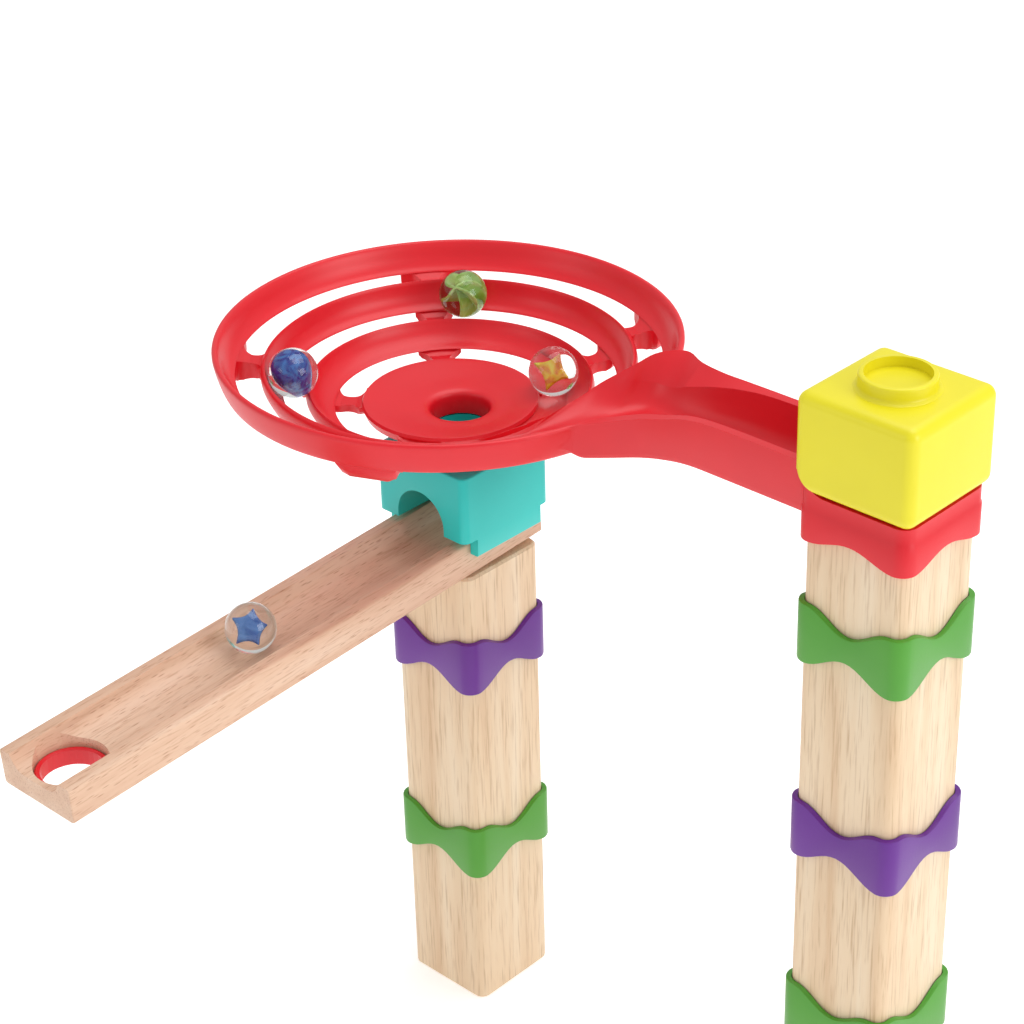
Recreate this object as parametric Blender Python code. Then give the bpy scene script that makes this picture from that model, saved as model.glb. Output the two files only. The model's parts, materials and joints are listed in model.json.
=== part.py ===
"""Marble run: a slotted funnel bowl with its chute, two stacking blocks, a beech rail, two towers
of wood posts with plastic connectors, and four glass marbles.

Metres, +Z up. The floor is z = 0 and the funnel's tower stands on the origin, the entry tower is
along +X and the rail runs along -Y.
"""

import math

import bmesh
import bpy
from mathutils import Matrix, Vector

MM = 0.001
GAP = 0.3 * MM  # between two pieces that touch

# Layout
RIM_Z = 250 * MM  # the bowl's rim above the floor
TOWER_B_X = 168.26 * MM
BOWL_X = -1.9 * MM
BOWL_Y = -2.15 * MM

# Posts and connectors
POST_HALF = 17.35 * MM
POST_CORNER = 3.6 * MM
SLEEVE_HALF = POST_HALF + 1.78 * MM
SLEEVE_CORNER = POST_CORNER + 1.2 * MM
SLEEVE_TALL = 19.5 * MM  # height at the corners
SLEEVE_LOW = 8.1 * MM  # height at the middle of a face
WEB = 2.4 * MM
WEB_HOLE = 8.5 * MM
SLEEVES_A = (("purple", RIM_Z - 110.7 * MM), ("green", RIM_Z - 185.9 * MM))
SLEEVES_B = (("green", RIM_Z - 39.1 * MM), ("purple", RIM_Z - 107.3 * MM), ("green", RIM_Z - 175.5 * MM))

# Marbles
MARBLE = 8 * MM  # radius

# Blocks
BLOCK_HALF = 20 * MM
BLOCK_HEIGHT = 30.8 * MM
BLOCK_EDGE = 3.5 * MM
PEG_OUTER = 11 * MM
PEG_MOUTH = 9.5 * MM
PEG_HEIGHT = 4.5 * MM
BORE = MARBLE + 0.7 * MM
EXIT_CORNER = 2.8 * MM
EXIT_TOP = RIM_Z - 38 * MM
EXIT_BOTTOM = RIM_Z - 61.5 * MM
EXIT_SKIRT = RIM_Z - 68.1 * MM
ARCH = MARBLE + 2.3 * MM  # half width of an arch, and the radius of its round top
EXIT_ARCH_TOP = RIM_Z - 48.9 * MM

# Rail
RAIL_HALF = 16.1 * MM
EXIT_HALF = RAIL_HALF + 3.7 * MM  # the exit block straddles the rail
RAIL_THICK = 12.2 * MM
RAIL_GROOVE = ((11.6, 0), (10.8, -1.4), (9.6, -3.2), (7.6, -4.6), (5.2, -5.0))  # mm across, mm down
RAIL_SLOPE = math.radians(3)
RAIL_TOP = RIM_Z - 63.4 * MM  # on the first tower's axis
RAIL_UPPER = 19.3 * MM
RAIL_LOWER = -178.5 * MM
DROP_Y = -165 * MM
DROP_RING = 11 * MM  # outer radius of the ring in the drop hole
DROP_RING_WALL = 1.5 * MM
DROP_RING_DEPTH = 7 * MM  # from the rail's top down to the ring's
DOWEL = 4 * MM
DOWEL_TOP = RAIL_TOP - 8.2 * MM
DOWEL_LENGTH = 18 * MM
RAIL_MARBLE_Y = -93.6 * MM

# Bowl: profiles of its rings, as mm from its axis and mm above the rim
BOWL_STEPS = 48
RIM_RING = (
    (67.9, -8.7), (69.4, -7.4), (70.9, -5.0), (72.0, -2.0), (72.9, -0.3), (73.8, 0), (74.6, -0.7),
    (74.3, -3.0), (73.4, -6.6), (72.4, -9.4), (71.6, -10.4), (70.0, -9.8), (68.2, -9.1),
)
OUTER_BAND = (
    (53.3, -16.4), (55.4, -15.1), (57.0, -12.6), (57.8, -9.8), (58.4, -7.6), (59.7, -8.8),
    (59.7, -11.5), (58.0, -15.3), (56.4, -17.6), (54.6, -17.0), (53.6, -16.9),
)
INNER_BAND = (
    (37.3, -23.1), (40.2, -21.9), (42.6, -20.0), (44.1, -17.8), (45.0, -15.9), (45.8, -17.2),
    (46.0, -19.4), (44.2, -22.7), (41.4, -24.9), (39.5, -24.2), (37.6, -23.6),
)
SEAT = (EXIT_TOP - RIM_Z) / MM + GAP / MM  # the foot's lower edge, just above the exit block
SHELF = SEAT + PEG_HEIGHT / MM
PEG = PEG_OUTER / MM
HUB = (
    (9.3, -28.6), (9.8, -26.4), (11.0, -25.4), (13.0, -24.95), (17.0, -24.5), (21.5, -23.6), (26.5, -22.5),
    (28.0, -22.3), (28.5, -23.2), (27.6, -25.7), (20.0, -27.4), (PEG + 3.8, -28.4), (PEG + 2.6, -30.5),
    (PEG + 2.6, SEAT), (PEG + 1.7, SEAT), (PEG + 0.5, SEAT + 1.5), (PEG + 0.4, SHELF), (9.2, SHELF + 0.3),
)
HUB_CORE = 14  # within this radius the hub follows its tower, and from there out it joins the bowl
OUTER_TRACK = ((53.3, -16.4), (45.0, -15.9))  # the two edges that a marble rolls on
INNER_TRACK = ((37.3, -23.1), (28.0, -22.3))

# Spokes: across each gap, its inner and outer radius and a spoke's outline seen from the side
SPOKES = (64, 140, -144, -66, -2)  # degrees
SPOKE_HALF = 2.8
SPOKE_FLARE = 9.8
OUTER_GAP = (59.7, 67.9)
OUTER_SPOKE = (
    (69.6, -8.2), (68.2, -9.0), (66.6, -10.2), (64.6, -11.0), (61.6, -11.2), (58.8, -10.8),
    (58.6, -15.0), (62.0, -16.4), (66.5, -16.8), (69.6, -15.2), (71.2, -12.6), (71.4, -10.2),
)
MIDDLE_GAP = (46.0, 53.3)
MIDDLE_SPOKE = (
    (55.0, -16.2), (53.2, -17.3), (51.6, -18.3), (48.6, -18.6), (45.7, -18.2), (44.8, -18.6),
    (43.8, -21.6), (47.0, -22.4), (52.0, -21.8), (55.0, -19.6), (56.0, -17.2),
)
INNER_GAP = (28.5, 37.3)
INNER_SPOKE = (
    (38.6, -23.2), (37.2, -24.1), (35.6, -24.9), (30.4, -24.9), (28.7, -24.4), (27.4, -23.6),
    (26.6, -26.6), (30.0, -27.4), (35.0, -27.4), (38.6, -26.2), (40.2, -24.4),
)
LANDING = (-24, 64)  # degrees between which the inner gap is closed, where the chute comes in

# Chute: stations from the collar to the bowl, in mm. Each is the near edge (x, y, z), the far edge
# (x, y, z), the far wall's width, the height of that wall's inner edge, floor, underside, bank.
CHUTE_START = TOWER_B_X / MM - 17
CHUTE_BEND = TOWER_B_X / MM - 49.26
CHUTE_WALL = 2.7
CHUTE_HALF = 14.3
CHUTE_TOP = 12.35
STATIONS = (
    ((CHUTE_START, -14.3, 12.35), (CHUTE_START, 14.3, 12.35), 2.7, 12.3, -1.5, -3.9, 7),
    ((CHUTE_BEND, -14.3, 12.3), (CHUTE_BEND, 14.3, 12.35), 2.8, 12.0, -1.5, -3.9, 7),
    ((106, -14.3, 11.1), (106, 14.3, 12.35), 3.6, 11.0, -1.6, -4.1, 7),
    ((96.5, -14.4, 8.1), (96.5, 14.3, 12.35), 5.0, 9.4, -1.8, -5.6, 6),
    ((88, -15, 5.6), (87, 15.7, 12.35), 7.4, 6.8, -2.1, -7.7, 5),
    ((79.5, -17, 2.6), (80, 18.7, 12.35), 10, 4.5, -2.4, -10, 4),
    ((74.2, -19.2, 1.0), (75.6, 16.8, 12.35), 8.6, 4.6, -2.7, -11, 4),
    ((70.6, -21.6, 0.2), (72, 11.6, 12.1), 5.6, 4.8, -3.0, -11, 3.4),
    ((67.8, -25.4, -0.3), (69.4, 6.4, 10), 3.0, 5.6, -3.3, -8.2, 3),
    ((65.0, -30.8, -0.4), (65.7, 3.6, 7), 2.0, 4.6, -3.7, -7.0, 2.6),
    ((62.8, -35.4, -0.4), (61.2, -0.6, 3.4), 1.6, 1.6, -4.1, -6.6, 2.2),
    ((60.2, -39.9, -0.4), (59.0, -6.6, 0.6), 1.4, -0.4, -4.5, -6.9, 2),
    ((57.2, -44.3, -0.4), (57.6, -13.6, -1.0), 1.3, -1.9, -4.8, -7.2, 2),
    ((54.0, -48.4, -0.4), (56.8, -21.6, -2.2), 1.2, -2.9, -5.0, -7.4, 2),
    ((50.6, -52.2, -0.4), (56.0, -30.2, -2.9), 1.1, -3.5, -4.9, -7.3, 2),
    ((46.9, -55.6, -0.4), (53.8, -39.0, -3.0), 1.0, -3.5, -4.4, -6.8, 2),
    ((43.0, -58.9, -0.5), (49.4, -48.2, -2.4), 0.8, -2.8, -3.4, -5.9, 2),
    ((39.6, -61.2, -0.6), (43.0, -56.4, -1.6), 0.6, -1.8, -2.0, -4.6, 2),
)
BEND = (0, 0.05, 0.14, 0.28, 0.5, 0.72, 0.86, 0.95, 1)  # where a section's inside is sampled

# Collar, in mm from its tower's axis and above the rim
COLLAR_SLIM = SLEEVE_HALF / MM - 0.38
COLLAR_STEP = 0.6
COLLAR_SOCKET = -3.9
SADDLE = ((-18.4, 12.5), (-17.2, 10.6), (-16.0, 9.2), (-14.6, 7.9), (-12.5, 6.6), (-10.1, 6.0))


def clear_scene():
    for obj in list(bpy.data.objects):
        bpy.data.objects.remove(obj, do_unlink=True)


def material(name, colour, roughness):
    mat = bpy.data.materials.new(name)
    mat.use_nodes = True
    shader = mat.node_tree.nodes["Principled BSDF"]
    shader.inputs["Base Color"].default_value = (*colour, 1)
    shader.inputs["Roughness"].default_value = roughness
    shader.inputs["Metallic"].default_value = 0
    mat.diffuse_color = (*colour, 1)
    return mat


def make_object(name, bm, mat=None, centre=(0, 0, 0)):
    """An object of this mesh, faced outward, with its origin at centre."""
    bmesh.ops.recalc_face_normals(bm, faces=bm.faces)
    bmesh.ops.translate(bm, verts=bm.verts, vec=-Vector(centre))
    mesh = bpy.data.meshes.new(name)
    bm.to_mesh(mesh)
    bm.free()
    obj = bpy.data.objects.new(name, mesh)
    obj.location = centre
    bpy.context.scene.collection.objects.link(obj)
    if mat:
        mesh.materials.append(mat)
    return obj


def helper(name, bm):
    """An object that only shapes another: it never becomes a piece."""
    obj = make_object(name, bm)
    obj.hide_render = True
    obj.display_type = "WIRE"
    return obj


def combine(target, other, operation):
    modifier = target.modifiers.new(other.name, "BOOLEAN")
    modifier.object = other
    modifier.operation = operation
    modifier.solver = "EXACT"


def shade(obj, degrees=40):
    """Smooth shading, with edges sharper than the angle kept crisp."""
    for polygon in obj.data.polygons:
        polygon.use_smooth = True
    obj.data.set_sharp_from_angle(angle=math.radians(degrees))


def add_skin(bm, loops, closed=False):
    """Covers loops of equally many points. The skin closes on itself, or gets a cap at each end."""
    rings = [[bm.verts.new(point) for point in loop] for loop in loops]
    count = len(rings[0])
    pairs = list(zip(rings, rings[1:]))
    if closed:
        pairs.append((rings[-1], rings[0]))
    for lower, upper in pairs:
        for i in range(count):
            j = (i + 1) % count
            bm.faces.new((lower[i], lower[j], upper[j], upper[i]))
    if not closed:
        bm.faces.new(rings[0])
        bm.faces.new(rings[-1])


def skin(loops, closed=False):
    bm = bmesh.new()
    add_skin(bm, loops, closed)
    return bm


def prism(outline, start, end, axis):
    """A prism on an outline of pairs. Along X the pairs are (y, z), along Y (x, z), along Z (x, y)."""
    loops = []
    for depth in (start, end):
        loops.append([Vector((*pair[:axis], depth, *pair[axis:])) for pair in outline])
    return skin(loops)


def square(half, corner, centre=(0, 0), z=0.0, face=6, arc=3):
    """Points around a square with round corners: arc steps to a corner, and face steps to a side."""
    points = []
    flat = half - corner
    for quarter in range(4):
        turn = Matrix.Rotation(quarter * math.pi / 2, 3, "Z")
        for i in range(face):
            points.append(turn @ Vector((half, -flat + 2 * flat * i / face, 0)))
        for i in range(arc):
            angle = math.pi / 2 * i / arc
            x = flat + corner * math.cos(angle)
            y = flat + corner * math.sin(angle)
            points.append(turn @ Vector((x, y, 0)))
    return [Vector((p.x + centre[0], p.y + centre[1], z)) for p in points]


def turned(profile, centre, steps, base_z=RIM_Z):
    """A ring turned from (radius, height) pairs in mm. A profile on the axis gives a solid."""
    loops = []
    closed = all(radius > 0 for radius, _ in profile)
    for radius, height in profile if closed else profile[1:-1]:
        loop = []
        for i in range(steps):
            angle = 2 * math.pi * i / steps
            x = centre[0] + radius * MM * math.cos(angle)
            y = centre[1] + radius * MM * math.sin(angle)
            loop.append(Vector((x, y, base_z + height * MM)))
        loops.append(loop)
    return skin(loops, closed=closed)


def cylinder(radius, low, high, centre, steps=32):
    return turned(((0, 0), (radius / MM, low / MM), (radius / MM, high / MM), (0, 0)), centre, steps, base_z=0)


def box(low, high):
    outline = ((low[0], low[1]), (high[0], low[1]), (high[0], high[1]), (low[0], high[1]))
    return prism(outline, low[2], high[2], 2)


def arch(half, crown, foot, steps=10):
    """The outline of a round-topped opening: pairs across and up."""
    outline = [(half, foot)]
    for i in range(steps + 1):
        angle = math.pi * i / steps
        outline.append((half * math.cos(angle), crown - half + half * math.sin(angle)))
    outline.append((-half, foot))
    return outline


# Posts and connectors


def post(name, centre, low, high, mat):
    edge = 0.8 * MM
    loops = []
    for z, inset in ((low, edge), (low + edge, 0), (high - edge, 0), (high, edge)):
        loops.append(square(POST_HALF - inset, POST_CORNER - inset, centre, z, face=1))
    obj = make_object(name, skin(loops), mat, (*centre, low))
    shade(obj)
    return obj


def wave(point, centre, half):
    """0 at the middle of a face and 1 at a corner, along a connector's edge."""
    along = min(abs(point.x - centre[0]), abs(point.y - centre[1])) / half
    return (1 - math.cos(math.pi * min(along / 0.78, 1))) / 2


def sleeve(name, centre, middle, mat):
    """A connector: a wavy-edged sleeve with a web between the two posts that it joins."""
    inner = POST_HALF + GAP
    inner_corner = POST_CORNER + GAP
    rows = []
    for half, corner, side in (
        (SLEEVE_HALF, SLEEVE_CORNER, -1),
        (SLEEVE_HALF, SLEEVE_CORNER, 1),
        (inner, inner_corner, 1),
    ):
        row = square(half, corner, centre)
        for point in row:
            reach = (SLEEVE_LOW + (SLEEVE_TALL - SLEEVE_LOW) * wave(point, centre, half)) / 2
            point.z = middle + side * reach
        rows.append(row)
    rows.append(square(inner, inner_corner, centre, middle + WEB / 2))
    rows.append(square(WEB_HOLE, WEB_HOLE * 0.98, centre, middle + WEB / 2))
    rows.append(square(WEB_HOLE, WEB_HOLE * 0.98, centre, middle - WEB / 2))
    rows.append(square(inner, inner_corner, centre, middle - WEB / 2))
    low = [Vector((p.x, p.y, 2 * middle - p.z)) for p in rows[2]]
    rows.append(low)
    obj = make_object(name, skin(rows, closed=True), mat, (*centre, middle))
    shade(obj)
    return obj


def tower(letter, centre, top, sleeves, mats):
    """A stack of posts from the floor up to top, joined by connectors."""
    edges = [top]
    for colour, middle in sleeves:
        edges += [middle + WEB / 2 + GAP, middle - WEB / 2 - GAP]
    edges.append(0)
    for i in range(len(sleeves) + 1):
        post(f"post_{letter}{i + 1}", centre, edges[2 * i + 1], edges[2 * i], mats["rubberwood"])
    for i, (colour, middle) in enumerate(sleeves):
        sleeve(f"connector_{letter}{i + 1}", centre, middle, mats[colour])


# Funnel, chute and collar


def polar(radius, angle, z):
    x = BOWL_X + radius * MM * math.cos(angle)
    y = BOWL_Y + radius * MM * math.sin(angle)
    return Vector((x, y, RIM_Z + z * MM))


def spokes(name, gap, side, flare, angles):
    """The spokes across one gap, each flared by the round ends of the slots beside it."""
    inner, outer = gap
    end = (outer - inner) / 2  # radius of a slot's end
    middle = (outer + inner) / 2
    crest = max(z for _, z in side)
    body = bmesh.new()
    slots = bmesh.new()
    for degrees in angles:
        turn = Matrix.Translation((BOWL_X, BOWL_Y, RIM_Z)) @ Matrix.Rotation(math.radians(degrees), 4, "Z")
        loops = []
        for offset, depth in ((-flare, 0.5), (-0.7 * flare, 1), (0.7 * flare, 1), (flare, 0.5)):
            points = [Vector((r, offset, crest + (z - crest) * depth)) * MM for r, z in side]
            loops.append([turn @ point for point in points])
        add_skin(body, loops)
        for sign in (-1, 1):
            start = sign * (SPOKE_HALF + end)
            outline = [(middle + end, sign * 20), (middle - end, sign * 20)]
            for i in range(13):
                angle = math.pi * i / 12
                outline.append((middle - end * math.cos(angle), start - sign * end * math.sin(angle)))
            add_skin(slots, [[turn @ (Vector((r, y, z)) * MM) for r, y in outline] for z in (-50, 20)])
    obj = helper(name, body)
    combine(obj, helper(f"{name}_slots", slots), "DIFFERENCE")
    return obj


def landing():
    """The closed part of the inner gap."""
    start, end = LANDING
    loops = []
    for i in range(10):
        angle = math.radians(start + (end - start) * i / 9)
        loops.append([polar(radius, angle, z + 0.05) for radius, z in INNER_SPOKE])
    return helper("landing", skin(loops))


def hub():
    """The disc with its hole and foot: its edge stands about the bowl's axis, its hole about the tower's."""
    loops = []
    for radius, height in HUB:
        share = min(max((radius - HUB_CORE) / (28 - HUB_CORE), 0), 1)
        loop = []
        for i in range(BOWL_STEPS):
            angle = 2 * math.pi * i / BOWL_STEPS
            x = BOWL_X * share + radius * MM * math.cos(angle)
            y = BOWL_Y * share + radius * MM * math.sin(angle)
            loop.append(Vector((x, y, RIM_Z + height * MM)))
        loops.append(loop)
    return helper("hub", skin(loops, closed=True))


def at_rim(x, y, z):
    return Vector((x * MM, y * MM, RIM_Z + z * MM))


def chute_outside():
    """The chute before it's hollowed: four points to a station."""
    loops = []
    for near, far, _, _, _, under, _ in STATIONS:
        near_top = at_rim(*near)
        far_top = at_rim(*far)
        near_low = at_rim(near[0], near[1], under)
        far_low = at_rim(far[0], far[1], under)
        loops.append([near_top, near_low, far_low, far_top])
    return helper("chute_outside", skin(loops))


def chute_inside():
    """The space that the marble runs in, open at the top, and level with the floor at both ends."""
    sky = 20
    loops = []
    for near, far, far_wall, far_inner, floor, _, bank in STATIONS:
        start = Vector(near)
        across = Vector(far) - start
        across.z = 0
        width = across.length
        across.normalize()
        wall = min(CHUTE_WALL, 0.12 * width) if near[2] > 0.5 else 0.5
        loop = [start + across * wall]
        loop[0].z = sky
        for t in BEND:
            point = start + across * (wall + (width - wall - far_wall) * t)
            top = near[2] if t < 0.5 else far_inner
            point.z = floor + (top - floor) * abs(2 * t - 1) ** bank
            loop.append(point)
        outer = start + across * (width + 0.4)
        outer.z = far[2] + 0.04
        loop.append(outer)
        loop.append(Vector((outer.x, outer.y, sky)))
        loops.append([at_rim(*point) for point in loop])
    inside_collar = [point + Vector((TOWER_B_X - CHUTE_START * MM, 0, 0)) for point in loops[0]]
    return helper("chute_inside", skin([inside_collar] + loops))


def collar():
    """The square foot of the chute, which drops over the post."""
    centre = (TOWER_B_X, 0)
    half = SLEEVE_HALF
    inner = POST_HALF + GAP
    rows = [
        square(COLLAR_SLIM * MM, SLEEVE_CORNER, centre, RIM_Z + CHUTE_TOP * MM),
        square(COLLAR_SLIM * MM, SLEEVE_CORNER, centre, RIM_Z + (COLLAR_STEP + 0.5) * MM),
        square(half, SLEEVE_CORNER, centre, RIM_Z + COLLAR_STEP * MM),
    ]
    for reach, corner in ((half, SLEEVE_CORNER), (inner, POST_CORNER + GAP)):
        row = square(reach, corner, centre)
        for point in row:
            point.z = RIM_Z + (-5.4 - 3.4 * wave(point, centre, reach)) * MM
        rows.append(row)
    rows.append(square(inner, POST_CORNER + GAP, centre, RIM_Z + COLLAR_SOCKET * MM))
    return helper("collar", skin(rows))


def saddle_outline(lift):
    """What lies above the collar's top: the entry block's lower side, seen from the front."""
    outline = [(TOWER_B_X - 30 * MM, RIM_Z + CHUTE_TOP * MM + lift + 0.2 * MM)]
    for x, z in SADDLE:
        outline.append((TOWER_B_X + x * MM, RIM_Z + z * MM + lift))
    return outline


def funnel_chute(mats):
    axis = (BOWL_X, BOWL_Y)
    body = make_object("funnel_chute", turned(RIM_RING, axis, BOWL_STEPS), mats["red"], (*axis, RIM_Z))
    for name, profile in (("outer_band", OUTER_BAND), ("inner_band", INNER_BAND)):
        combine(body, helper(name, turned(profile, axis, BOWL_STEPS)), "UNION")
    combine(body, hub(), "UNION")
    combine(body, spokes("outer_spokes", OUTER_GAP, OUTER_SPOKE, SPOKE_FLARE, SPOKES), "UNION")
    combine(body, spokes("middle_spokes", MIDDLE_GAP, MIDDLE_SPOKE, 6.4, SPOKES), "UNION")
    combine(body, spokes("inner_spokes", INNER_GAP, INNER_SPOKE, 7.1, SPOKES[:-1]), "UNION")
    combine(body, landing(), "UNION")
    combine(body, chute_outside(), "UNION")
    combine(body, collar(), "UNION")
    combine(body, chute_inside(), "DIFFERENCE")
    drop = cylinder(CHUTE_HALF * MM - CHUTE_WALL * MM - 0.1 * MM, RIM_Z - 1.4 * MM, RIM_Z + 30 * MM, (TOWER_B_X, 0))
    combine(body, helper("drop", drop), "DIFFERENCE")
    outline = saddle_outline(0)[1:]
    outline += [(TOWER_B_X + 30 * MM, outline[-1][1]), (TOWER_B_X + 30 * MM, RIM_Z + 30 * MM)]
    outline.append((outline[0][0], RIM_Z + 30 * MM))
    combine(body, helper("saddle", prism(outline, -30 * MM, 30 * MM, 1)), "DIFFERENCE")
    shade(body)


# Blocks


def soft_block(half, low, high, centre, edge):
    bm = box((centre[0] - half, centre[1] - half, low), (centre[0] + half, centre[1] + half, high))
    bmesh.ops.bevel(bm, geom=list(bm.edges), offset=edge, segments=3, profile=0.5, affect="EDGES")
    return bm


def add_peg_ring(body, name, centre, top, floor):
    """The ring that locates whatever stands on a block, and the bore for the marble inside it."""
    ring = ((PEG_OUTER + 1.2 * MM, top - 0.5 * MM), (PEG_OUTER + 0.3 * MM, top + 0.5 * MM), (PEG_OUTER, top + 1.4 * MM))
    ring += ((PEG_OUTER, top + PEG_HEIGHT - 0.7 * MM), (PEG_OUTER - 0.6 * MM, top + PEG_HEIGHT))
    profile = [(0, 0)] + [(radius / MM, z / MM) for radius, z in ring] + [(0, 0)]
    combine(body, helper(f"{name}_ring", turned(profile, centre, 32, base_z=0)), "UNION")
    combine(body, helper(f"{name}_bore", cylinder(BORE, floor, top + 20 * MM, centre)), "DIFFERENCE")
    mouth = cylinder(PEG_MOUTH, top + PEG_HEIGHT - 3 * MM, top + 21 * MM, centre)
    combine(body, helper(f"{name}_mouth", mouth), "DIFFERENCE")


def entry_block(mats):
    centre = (TOWER_B_X, 0)
    low = RIM_Z + 6 * MM + GAP
    high = low - GAP + BLOCK_HEIGHT
    bm = soft_block(BLOCK_HALF, low, high, centre, BLOCK_EDGE)
    body = make_object("entry_block", bm, mats["yellow"], (*centre, low))
    outline = saddle_outline(GAP)
    outline += [(TOWER_B_X + 30 * MM, low), (TOWER_B_X + 30 * MM, low - 9 * MM), (outline[0][0], low - 9 * MM)]
    combine(body, helper("entry_saddle", prism(outline, -30 * MM, 30 * MM, 1)), "DIFFERENCE")
    opening = arch(CHUTE_HALF * MM - CHUTE_WALL * MM, RIM_Z + 21 * MM, low - 9 * MM)
    passage = prism(opening, TOWER_B_X - 30 * MM, TOWER_B_X, 0)
    combine(body, helper("entry_passage", passage), "DIFFERENCE")
    add_peg_ring(body, "entry", centre, high, low - 5 * MM)
    shade(body)


def exit_block(mats):
    loops = []
    for z, inset in ((EXIT_SKIRT, 0.6), (EXIT_SKIRT + 0.6 * MM, 0), (EXIT_TOP - 0.6 * MM, 0), (EXIT_TOP, 0.6)):
        loops.append(square(EXIT_HALF - inset * MM, EXIT_CORNER, (0, 0), z, face=1))
    body = make_object("exit_block", skin(loops), mats["turquoise"], (0, 0, EXIT_BOTTOM))
    low = EXIT_SKIRT - 5 * MM
    rail_side = RAIL_HALF + GAP
    cuts = (
        ((-30 * MM, -30 * MM, low), (30 * MM, -14 * MM, EXIT_BOTTOM)),
        ((-30 * MM, 15.5 * MM, low), (30 * MM, 30 * MM, EXIT_BOTTOM + 0.01 * MM)),
        ((-rail_side, -31 * MM, low), (rail_side, 31 * MM, EXIT_BOTTOM + 0.02 * MM)),
    )
    for i, (start, end) in enumerate(cuts):
        combine(body, helper(f"exit_cut_{i}", box(start, end)), "DIFFERENCE")
    passage = prism(arch(ARCH, EXIT_ARCH_TOP, low), -30 * MM, 8 * MM, 1)
    combine(body, helper("exit_passage", passage), "DIFFERENCE")
    add_peg_ring(body, "exit", (0, 0), EXIT_TOP, low)
    shade(body)


def rail_top(y):
    """Height of the rail's top above the floor."""
    return RAIL_TOP + y * math.tan(RAIL_SLOPE)


# Rail and dowel


def rail(mats):
    half = RAIL_HALF
    soft = 0.6 * MM
    section = [(half - soft, 0), (half, -soft), (half, soft - RAIL_THICK), (half - soft, -RAIL_THICK)]
    section += [(-x, z) for x, z in reversed(section)]
    section += [(-x * MM, z * MM) for x, z in RAIL_GROOVE]
    section += [(x * MM, z * MM) for x, z in reversed(RAIL_GROOVE)]
    bm = prism(section, RAIL_LOWER, RAIL_UPPER, 1)
    tilt = Matrix.Translation((0, 0, RAIL_TOP)) @ Matrix.Rotation(RAIL_SLOPE, 4, "X")
    bmesh.ops.transform(bm, matrix=tilt, verts=bm.verts)
    body = make_object("rail", bm, mats["beech"], (0, 0, RAIL_TOP))
    drop = cylinder(DROP_RING + GAP, RAIL_TOP - 60 * MM, RAIL_TOP + 30 * MM, (0, DROP_Y), steps=32)
    combine(body, helper("rail_drop", drop), "DIFFERENCE")
    seat = cylinder(DOWEL + GAP, RAIL_TOP - 30 * MM, DOWEL_TOP + GAP, (0, 0), steps=20)
    combine(body, helper("rail_seat", seat), "DIFFERENCE")
    shade(body, 30)


def rail_dowel(mats):
    low = DOWEL_TOP - DOWEL_LENGTH
    obj = make_object("rail_dowel", cylinder(DOWEL, low, DOWEL_TOP, (0, 0), steps=20), mats["beech"], (0, 0, low))
    shade(obj)
    seat = cylinder(DOWEL + GAP, low - GAP, RAIL_TOP, (0, 0), steps=20)
    combine(bpy.data.objects["post_A1"], helper("post_seat", seat), "DIFFERENCE")


def drop_ring(mats):
    """The ring that lines the rail's drop hole."""
    top = rail_top(DROP_Y) - DROP_RING_DEPTH
    low = rail_top(DROP_Y - DROP_RING) - RAIL_THICK / math.cos(RAIL_SLOPE) + GAP
    outer = DROP_RING / MM
    inner = (DROP_RING - DROP_RING_WALL) / MM
    soft = 0.5
    profile = [(inner, low / MM), (outer - soft, low / MM), (outer, low / MM + soft), (outer, top / MM - soft)]
    profile += [(outer - soft, top / MM), (inner + soft, top / MM), (inner, top / MM - soft)]
    bm = turned(profile, (0, DROP_Y), 32, base_z=0)
    shade(make_object("drop_ring", bm, mats["red"], (0, DROP_Y, low)))


# Marbles


def marble(name, centre, mat, origin):
    bm = bmesh.new()
    bmesh.ops.create_uvsphere(bm, u_segments=16, v_segments=10, radius=MARBLE)
    bmesh.ops.translate(bm, verts=bm.verts, vec=centre)
    obj = make_object(name, bm, mat, origin)
    shade(obj, 90)


def perch(track):
    """Where a marble's middle is, across and up in mm, when it stands on a track's two edges."""
    outer, inner = Vector(track[0]), Vector(track[1])
    middle = (outer + inner) / 2
    half = (outer - inner).length / 2
    reach = (MARBLE + GAP) / MM
    lift = math.sqrt(reach**2 - half**2)
    along = (outer - inner).normalized()
    return middle + Vector((-along.y, along.x)) * lift


def marbles(mats):
    axis = Vector((BOWL_X, BOWL_Y, RIM_Z))
    for name, track, degrees in (
        ("marble_green", OUTER_TRACK, 129),
        ("marble_blue", OUTER_TRACK, -129),
        ("marble_fire", INNER_TRACK, 50),
    ):
        radius, z = perch(track)
        marble(name, polar(radius, math.radians(degrees), z), mats[name], axis)
    floor = RAIL_GROOVE[-1][1] * MM
    lift = Vector((0, -math.sin(RAIL_SLOPE), math.cos(RAIL_SLOPE))) * (floor + MARBLE + GAP)
    centre = Vector((0, RAIL_MARBLE_Y, rail_top(RAIL_MARBLE_Y))) + lift
    marble("marble_star", centre, mats["marble_star"], centre)


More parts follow.
